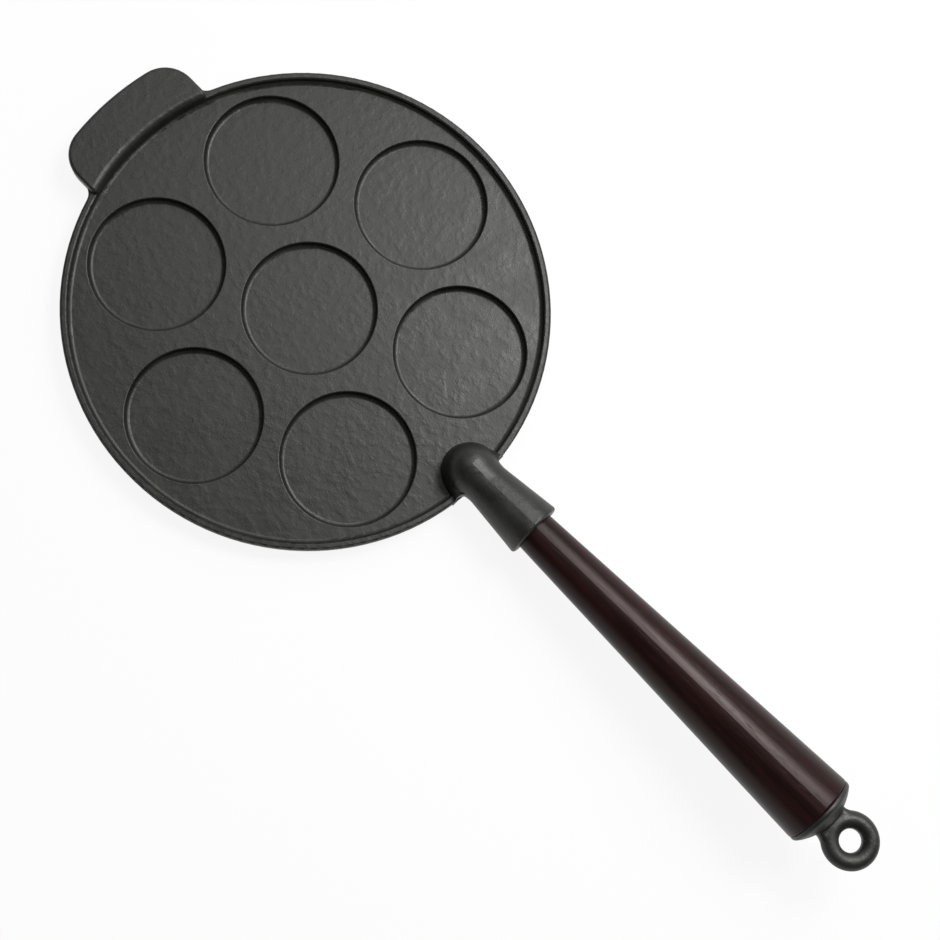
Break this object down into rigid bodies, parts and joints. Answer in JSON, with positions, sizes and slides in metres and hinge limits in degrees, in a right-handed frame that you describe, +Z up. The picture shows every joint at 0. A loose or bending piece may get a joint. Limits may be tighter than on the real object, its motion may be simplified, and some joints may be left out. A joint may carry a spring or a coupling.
{
  "type": "blini pan",
  "caption": "Round cast-iron pan with a low rim and shallow round recesses for small pancakes, a helper tab, and a turned wooden handle ending in a hanging eye.",
  "frame": {"origin": "centre of the pan on its standing plane, which is the face of the middle boss", "axes": "+X from the middle of the pan towards the handle, +Z up out of the recesses"},
  "size_m": [0.4943, 0.23, 0.0579],
  "materials": {
    "pan_iron": "sand cast, seasoned satin",
    "handle_wood": "turned, dark stained, oiled to a semi-gloss",
    "rod_steel": "drawn bar",
    "end_iron": "sand cast, seasoned satin"
  },
  "bodies": {
    "root": {"pan_casting": "pan_iron", "wooden_handle": "handle_wood", "tie_rod": "rod_steel", "end_casting": "end_iron"}
  },
  "joints": []
}
